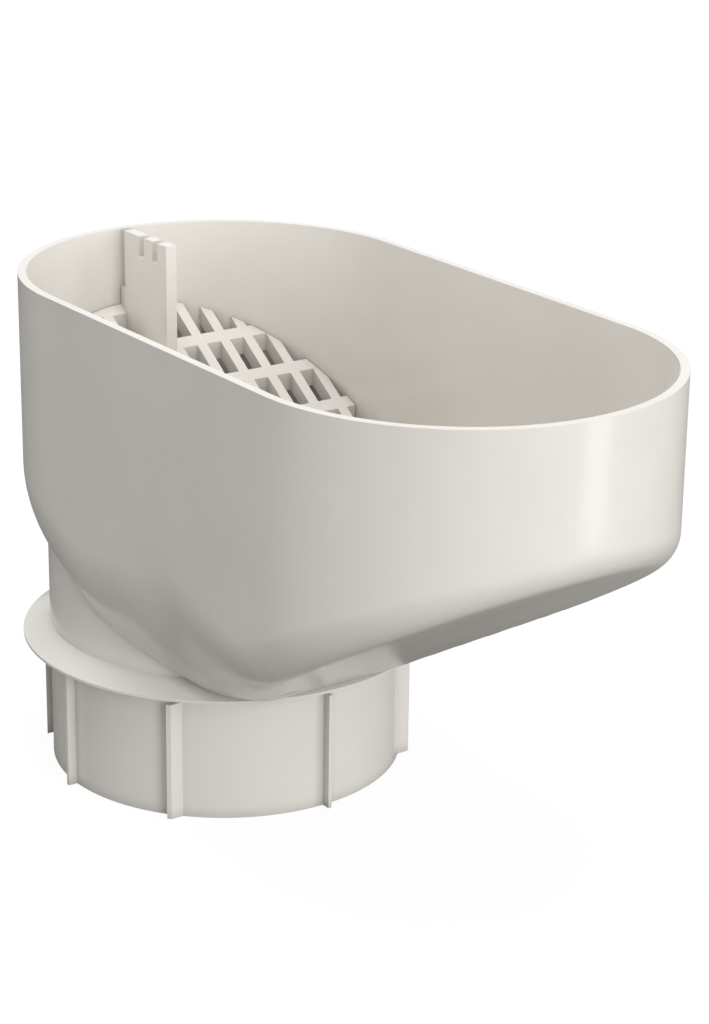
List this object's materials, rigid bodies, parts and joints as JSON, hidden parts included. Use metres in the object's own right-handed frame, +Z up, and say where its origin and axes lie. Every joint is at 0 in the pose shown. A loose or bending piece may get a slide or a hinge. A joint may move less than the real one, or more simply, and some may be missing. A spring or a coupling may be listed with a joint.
{
  "type": "gutter leaf trap",
  "caption": "Stadium-mouthed plastic hopper with a sloping nose, an inclined lift-out lattice sieve with a pull tab, and a ribbed round outlet that drops into a drain pipe.",
  "frame": {"origin": "on the outlet's axis, in the plane of the collar's bottom edge", "axes": "+X along the mouth from the outlet towards the nose, +Y across the mouth, +Z up out of the mouth, outlet axis along Z"},
  "size_m": [0.2133, 0.1126, 0.1385],
  "materials": {
    "hopper_plastic": "semi-gloss moulded rigid PVC, warm off-white",
    "sieve_plastic": "semi-gloss moulded rigid PVC, warm off-white"
  },
  "bodies": {
    "root": {"hopper": "hopper_plastic", "sieve": "sieve_plastic"}
  },
  "joints": []
}
